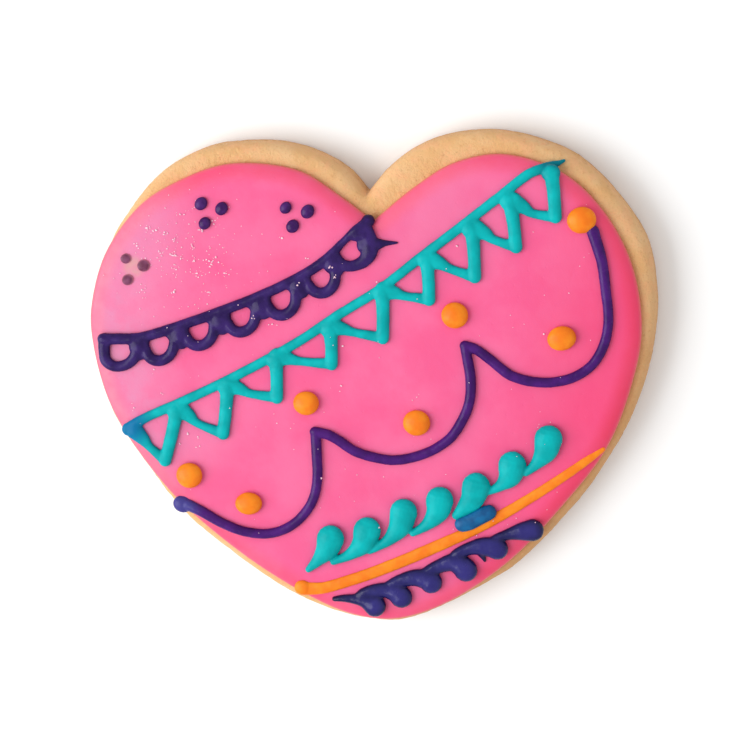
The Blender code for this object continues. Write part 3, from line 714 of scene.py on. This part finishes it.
for start, bend, tip, end in BUNTING_FLAGS:
    along = (Vector(bend) - Vector(start)).normalized()
    above = Vector((-along.y, along.x))
    corner = Vector(start) + above * 0.35
    pool_end = Vector(start) + along * 1.8 + above * 0.25
    piped_stroke(bunting, [(*corner, 3.0), (*pool_end, 2.2), (*bend, 1.5), (*tip, 1.9)], height=1.05)
    middle = ((tip[0] + end[0]) / 2.0 + 0.1, (tip[1] + end[1]) / 2.0)
    piped_stroke(bunting, [(*tip, 2.1), (*middle, 2.1), (*end, 2.4)], height=1.15)
    bead(bunting, (end[0] - 0.1, end[1] - 0.2), 1.5, 1.4, 1.15)
turquoise_deep = (0.001, 0.330, 0.340)
turquoise_clear = (0.002, 0.420, 0.430)
turquoise_blue = (0.003, 0.150, 0.320)
# Painted shade for the foot of a turquoise line.
turquoise_foot_shade = (0.80, 0.52, 0.66)
turquoise, tree, shader, place, colour = icing_material("turquoise icing", turquoise_deep, turquoise_clear,
                                                        3.0, 0.2, 0.045, 0.08, gloss=0.08,
                                                        foot=turquoise_foot_shade, polish=0.9)
string_start = add_nearness(tree, place, (-39.6, -5.6, 8.6), 1.0, 5.5)
colour = add_mix(tree, string_start, colour, turquoise_blue)
tree.links.new(colour, shader.inputs["Base Color"])
set_piping("bunting", bunting, turquoise, rounds=7)

# Swags: one purple line that hangs in three curves from the left edge to the right, with a drip where it
# starts and sharp turns where the nozzle touched down between the curves.
SWAGS = [
    [(-30.8, -18.9, 1.9), (-28.9, -19.8, 1.75), (-25.7, -21.75, 1.65), (-22.5, -23.15, 1.6),
     (-19.0, -23.8, 1.6), (-16.4, -23.5, 1.6), (-13.8, -22.3, 1.6), (-11.8, -20.5, 1.6),
     (-10.2, -18.0, 1.6), (-9.4, -14.6, 1.65), (-9.3, -11.4, 1.7), (-9.3, -7.4, 1.7)],
    [(-9.4, -7.2, 1.7), (-7.45, -7.65, 1.65), (-5.5, -8.8, 1.65), (-3.5, -10.3, 1.65), (-1.0, -11.35, 1.6),
     (3.0, -12.1, 1.6), (6.5, -11.6, 1.6), (9.5, -10.5, 1.6), (12.2, -8.7, 1.65), (14.2, -6.0, 1.65),
     (15.5, -3.0, 1.65), (15.9, 0.6, 1.7), (15.3, 5.7, 1.65)],
    [(15.2, 6.1, 1.65), (16.95, 5.45, 1.6), (19.1, 3.8, 1.65), (22.5, 1.05, 1.65), (27.3, -0.1, 1.6),
     (31.6, 0.45, 1.6), (34.9, 2.4, 1.6), (37.0, 5.6, 1.6), (37.85, 9.6, 1.6), (37.6, 14.4, 1.65),
     (37.15, 18.9, 1.75), (35.95, 23.6, 2.0)],
]
swags = bmesh.new()
for marks in SWAGS:
    piped_stroke(swags, marks, height=1.1)
bead(swags, (-31.8, -18.8), 1.6, 1.4, 1.3, -0.35)
purple_deep = (0.038, 0.003, 0.098)
purple_clear = (0.064, 0.007, 0.152)
drip_blue = (0.050, 0.042, 0.220)
purple, tree, shader, place, colour = icing_material("purple icing", purple_deep, purple_clear, 3.0, 0.2,
                                                     0.045, 0.05, gloss=0.17, foot=foot_shade, polish=0.7)
drip = add_nearness(tree, place, (-31.9, -18.3, 8.8), 1.0, 4.5)
colour = add_mix(tree, drip, colour, drip_blue)
tree.links.new(colour, shader.inputs["Base Color"])
set_piping("swags", swags, purple)

# Large dots: seven round beads of orange icing, let fall between the lines, and each settled a little wider
# than deep under its own weight.
LARGE_DOTS = [
    (34.3, 25.4, 2.3, 2.1, 0.2), (13.9, 11.0, 2.15, 2.1, 0.0), (30.5, 6.9, 2.3, 1.95, 0.2),
    (-10.5, -2.5, 2.1, 1.95, 0.0), (7.0, -6.1, 2.2, 2.1, 0.0), (-30.2, -13.9, 2.15, 2.1, 0.0),
    (-20.8, -18.7, 2.2, 1.85, 0.0),
]
orange_dots = bmesh.new()
for centre_x, centre_y, half_width, half_depth, slope in LARGE_DOTS:
    bead(orange_dots, (centre_x, centre_y), half_width, half_depth, 1.6, slope)
orange_deep = (0.800, 0.175, 0.006)
orange_clear = (0.860, 0.245, 0.010)
# Painted shade for the foot of an orange dot.
orange_foot_shade = (0.94, 0.62, 0.50)
orange, *_ = icing_material("orange icing", orange_deep, orange_clear, 2.4, 0.2, 0.045, 0.12,
                            foot=orange_foot_shade)
set_piping("large_dots", orange_dots, orange)

# Broad drops: seven turquoise leaves in the same icing as the bunting, each pressed out fat and drawn off
# down to the left in a tapering tail.
BROAD_DROPS = [
    [(-7.8, -24.7, 4.5), (-8.5, -26.4, 3.8), (-10.2, -28.4, 2.0), (-11.7, -29.8, 1.1)],
    [(-1.8, -23.5, 4.5), (-2.6, -25.5, 3.8), (-4.7, -27.3, 2.0), (-7.6, -28.6, 1.1)],
    [(4.2, -20.6, 4.5), (3.5, -22.8, 3.8), (1.5, -25.1, 2.0), (-1.6, -26.9, 1.1)],
    [(10.1, -18.7, 4.5), (9.6, -20.6, 3.8), (7.8, -22.7, 2.0), (5.5, -24.1, 1.1)],
    [(16.0, -16.6, 4.6), (15.3, -18.5, 3.9), (14.0, -20.0, 2.7), (12.7, -21.2, 1.6)],
    [(21.9, -13.2, 4.5), (21.3, -15.1, 3.8), (19.9, -16.5, 2.0), (18.1, -17.5, 1.1)],
    [(27.8, -9.1, 4.5), (27.2, -11.1, 3.8), (25.7, -13.1, 2.0), (24.0, -14.6, 1.1)],
]
broad_drops = bmesh.new()
for marks in BROAD_DROPS:
    piped_stroke(broad_drops, marks, height=1.9, belly=0.28)
set_piping("broad_drops", broad_drops, turquoise)

# Narrow drops: six indigo commas in a row along the lower right edge. Each one starts on the back of the one
# before and curls down into a round head, so that together they read as one wavy sprig.
NARROW_DROPS = [
    [(-7.8, -34.8, 0.8), (-6.3, -34.7, 1.2), (-4.5, -34.8, 1.7), (-2.8, -35.1, 2.6), (-1.3, -35.9, 3.8)],
    [(-4.4, -34.6, 1.1), (-2.9, -33.9, 1.9), (-1.2, -33.5, 2.3), (0.8, -33.4, 2.6), (2.3, -33.9, 3.3),
     (3.1, -34.5, 3.7)],
    [(-0.4, -33.4, 1.1), (1.5, -32.6, 1.9), (3.1, -31.9, 2.2), (5.2, -31.4, 2.7), (7.0, -31.6, 3.3),
     (8.0, -32.1, 3.8)],
    [(5.6, -31.3, 1.1), (7.7, -30.4, 2.0), (9.9, -29.4, 2.4), (11.7, -29.0, 3.1), (13.1, -29.6, 3.7),
     (13.7, -30.2, 3.9)],
    [(10.8, -28.7, 1.1), (12.5, -27.6, 1.9), (14.2, -26.8, 2.1), (16.1, -26.4, 2.8), (17.8, -26.5, 3.3),
     (18.9, -26.8, 3.6)],
    [(17.4, -25.7, 1.0), (19.1, -25.0, 1.4), (20.8, -24.5, 1.9), (22.6, -24.1, 2.8), (24.6, -23.9, 3.7)],
]
STRAY_SPIKE = [(16.2, -27.4, 1.5), (16.6, -28.3, 0.8), (16.8, -28.8, 0.5)]
narrow_drops = bmesh.new()
for marks in NARROW_DROPS:
    piped_stroke(narrow_drops, marks, height=1.6, spacing=0.25)
piped_stroke(narrow_drops, STRAY_SPIKE, height=0.8, spacing=0.2)
indigo_deep = (0.008, 0.006, 0.095)
indigo_clear = (0.019, 0.0155, 0.142)
indigo_crown_highlight = (0.050, 0.038, 0.265)
indigo_flank_shade = (0.42, 0.36, 0.42)
indigo, tree, shader, place, colour = icing_material("indigo icing", indigo_deep, indigo_clear, 2.6, 0.2,
                                                     0.045, 0.05, gloss=0.28, foot=foot_shade, polish=0.55)
# Painted shade: the lower flanks of the drops are darkened.
painted_flank_shade = add_side(tree, place, (0.0, 0.0, 1.0), 9.62, 8.6)
colour = add_mix(tree, painted_flank_shade, colour, indigo_flank_shade, "MULTIPLY")
# Painted highlight: the crowns of the heads are mixed towards a lighter indigo.
painted_crown_highlight = add_math(tree, "MULTIPLY", add_side(tree, place, (0.0, 0.0, 1.0), 9.0, 9.8), 0.24)
tree.links.new(add_mix(tree, painted_crown_highlight, colour, indigo_crown_highlight), shader.inputs["Base Color"])
set_piping("narrow_drops", narrow_drops, indigo, rounds=4)

# Low stem: a flat orange line that soaked down into the wet pink layer between the two rows of drops, so
# that it stands less proud than the rest. It starts in a small pool and thins out towards the right.
LOW_STEM = [
    (-12.9, -33.0, 2.45), (-11.2, -33.1, 2.1), (-9.4, -32.95, 1.95), (-3.6, -31.3, 1.95), (2.0, -29.3, 2.0),
    (7.8, -26.95, 2.0), (13.4, -24.55, 1.9), (19.1, -21.8, 1.8), (24.6, -18.65, 1.65), (29.0, -15.9, 1.55),
    (33.7, -12.8, 1.3), (36.2, -11.2, 0.8),
]
stem = bmesh.new()
piped_stroke(stem, LOW_STEM, height=0.55, belly=0.2)
bead(stem, (-12.9, -32.9), 1.4, 1.25, 0.8)
stem_orange, *_ = icing_material("stem icing", orange_deep, orange_clear, 2.4, 0.2, 0.045, 0.12)
set_piping("low_stem", stem, stem_orange)

# Short rod: one stroke of blue icing laid between the broad drops and the stem. It touches the tail of a drop
# and the edge of the stem.
SHORT_ROD = [(13.6, -22.65, 2.65), (14.8, -22.25, 2.75), (16.3, -21.5, 2.7), (17.8, -20.85, 2.55)]
rod = bmesh.new()
piped_stroke(rod, SHORT_ROD, height=1.35)
blue_deep = (0.002, 0.070, 0.205)
blue_clear = (0.004, 0.125, 0.310)
blue, *_ = icing_material("blue icing", blue_deep, blue_clear, 2.0, 0.2, 0.045, 0.06, foot=foot_shade)
set_piping("short_rod", rod, blue)

# Sugar: clear crystals of 0.1 to 0.3 mm that fell on the icing while it was tacky, mostly in small clusters
# on the left lobe. Each is a small block with worn edges that lies a little sunk in the icing.
SUGAR_SEED = 41
GRAIN_CLUSTERS = [
    (-23.9, 27.1), (-29.0, 28.3), (-25.6, 25.5), (-34.5, 26.3), (-33.0, 25.9), (-31.8, 25.2), (-30.1, 24.5),
    (-36.3, 23.5), (-27.4, 23.2), (-32.6, 22.2), (-31.0, 22.0), (-30.1, 21.7), (-27.2, 20.8), (-24.8, 20.7),
    (-24.5, 20.2), (-23.7, 21.3), (-30.9, 19.8), (-26.9, 18.8), (-22.4, 18.7), (-30.8, 15.9), (-25.3, 15.7),
    (-36.0, 16.4), (-12.9, 24.0), (-9.3, 20.7), (-34.0, -0.4), (-38.6, -2.7), (-34.9, 3.5), (-30.1, -7.2),
    (-28.5, -7.7), (-31.5, -8.8), (-28.9, -9.4), (-15.3, 10.3), (-4.2, 6.5), (-4.8, 0.1), (1.8, 16.6),
    (14.7, 21.9), (7.2, -2.0), (-8.7, -14.7), (0.2, -22.9), (27.7, 7.6),
]
LACE_CLUSTERS = [(-5.2, 19.4), (-4.7, 17.8), (-10.7, 16.7), (-18.2, 11.7)]
GRAINS_ON_LACE = 4
LOOSE_ON_LOBE = 150
LOOSE_ELSEWHERE = 90
SUNK_SHARE = 0.22
WORN_SHARE = 0.14
chance = random.Random(SUGAR_SEED)
grains = []
for x, y in LACE_CLUSTERS:
    for _ in range(GRAINS_ON_LACE):
        grains.append((x + chance.gauss(0.0, 0.2), y + chance.gauss(0.0, 0.2), chance.uniform(0.14, 0.26)))
for x, y in GRAIN_CLUSTERS:
    grains.append((x, y, chance.uniform(0.20, 0.32)))
    crowd = chance.randint(3, 7) if x < -20.0 and y > 12.0 else chance.randint(0, 2)
    for _ in range(crowd):
        grains.append((x + chance.gauss(0.0, 0.42), y + chance.gauss(0.0, 0.36), chance.uniform(0.12, 0.24)))
for _ in range(LOOSE_ON_LOBE):
    grains.append((chance.gauss(-29.0, 5.5), chance.gauss(22.0, 5.0), chance.uniform(0.08, 0.20)))
for _ in range(LOOSE_ELSEWHERE):
    grains.append((chance.uniform(-38.0, 36.0), chance.uniform(-26.0, 28.0), chance.uniform(0.08, 0.18)))
settled = bpy.context.evaluated_depsgraph_get()
surfaces = []
for name in ("poured_icing", "lace_border", "bunting", "swags", "broad_drops", "narrow_drops", "low_stem"):
    surfaces.append(BVHTree.FromObject(bpy.data.objects[name], settled))


def top_of_icing(x, y):
    """Returns the height of the topmost icing at a place, in millimetres."""
    hits = [surface.ray_cast((x * 0.001, y * 0.001, 0.03), (0.0, 0.0, -1.0))[0] for surface in surfaces]
    return max(hit.z for hit in hits if hit) * 1000.0


sugar = bmesh.new()
depths = depth_inside(np.array([grain[:2] for grain in grains]))
for (x, y, size), depth in zip(grains, depths):
    if depth < 1.0:
        continue
    level = top_of_icing(x, y)
    angle = chance.uniform(0.0, 6.3)
    turn = Matrix.Rotation(angle, 4, Vector((chance.gauss(0, 1), chance.gauss(0, 1), 1.0)))
    shape = Matrix.Diagonal((size, size * chance.uniform(0.6, 1.0), size * chance.uniform(0.5, 0.9), 1.0))
    laid = Matrix.Translation((x, y, level + size * SUNK_SHARE)) @ turn @ shape
    made = bmesh.ops.create_cube(sugar, size=1.0)
    bmesh.ops.transform(sugar, matrix=laid, verts=made["verts"])
    edges = list({edge for vertex in made["verts"] for edge in vertex.link_edges})
    bmesh.ops.bevel(sugar, geom=edges, offset=size * WORN_SHARE, segments=1, affect="EDGES")
bmesh.ops.scale(sugar, vec=(0.001, 0.001, 0.001), verts=sugar.verts)
sugar_data = bpy.data.meshes.new("sugar_grains")
sugar.to_mesh(sugar_data)
sugar.free()
sugar_piece = bpy.data.objects.new("sugar_grains", sugar_data)
bpy.context.scene.collection.objects.link(sugar_piece)
sugar_rosy = (0.88, 0.44, 0.58)
sugar_pale = (0.96, 0.80, 0.86)
crystal, tree, shader, place = new_material("sugar crystal", 0.2)
clouded = add_noise(tree, place, 0.3)
tree.links.new(add_mix(tree, clouded, sugar_rosy, sugar_pale), shader.inputs["Base Color"])
tree.links.new(add_range(tree, clouded, 0.3, 0.7, 0.12, 0.35), shader.inputs["Roughness"])
sugar_data.materials.append(crystal)
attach(sugar_piece, "root")
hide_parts("icing")

# Floor and light: a plain white table under even white light from all round, with one large soft lamp at the
# left that gives the piping its gloss and a soft shadow to the right.
FLOOR_HALF = 3
table_white = (0.93, 0.93, 0.93)
table_bright = (0.95, 0.95, 0.95)
floor_corners = [(-FLOOR_HALF, -FLOOR_HALF, 0), (FLOOR_HALF, -FLOOR_HALF, 0), (FLOOR_HALF, FLOOR_HALF, 0),
                 (-FLOOR_HALF, FLOOR_HALF, 0)]
floor_data = bpy.data.meshes.new("floor")
floor_data.from_pydata(floor_corners, [], [(0, 1, 2, 3)])
floor = bpy.data.objects.new("floor", floor_data)
bpy.context.scene.collection.objects.link(floor)
table, tree, shader, place = new_material("white table", 0.7)
table_colour = add_mix(tree, add_noise(tree, place, 40.0), table_white, table_bright)
tree.links.new(table_colour, shader.inputs["Base Color"])
floor_data.materials.append(table)

LAMP_PLACE = Vector((-0.52, -0.06, 0.46))
LAMP_SIZE = 0.60
LAMP_POWER = 4.6
SKY_STRENGTH = 0.78
lamp_data = bpy.data.lights.new("key lamp", "AREA")
lamp_data.shape = "SQUARE"
lamp_data.size = LAMP_SIZE
lamp_data.energy = LAMP_POWER
lamp = bpy.data.objects.new("key lamp", lamp_data)
lamp.location = LAMP_PLACE
lamp.rotation_euler = (-LAMP_PLACE).to_track_quat("-Z", "Y").to_euler()
bpy.context.scene.collection.objects.link(lamp)
world = bpy.data.worlds.new("studio")
bpy.context.scene.world = world
world.use_nodes = True
sky = world.node_tree.nodes["Background"]
sky.inputs["Color"].default_value = (1.0, 1.0, 1.0, 1.0)
sky.inputs["Strength"].default_value = SKY_STRENGTH
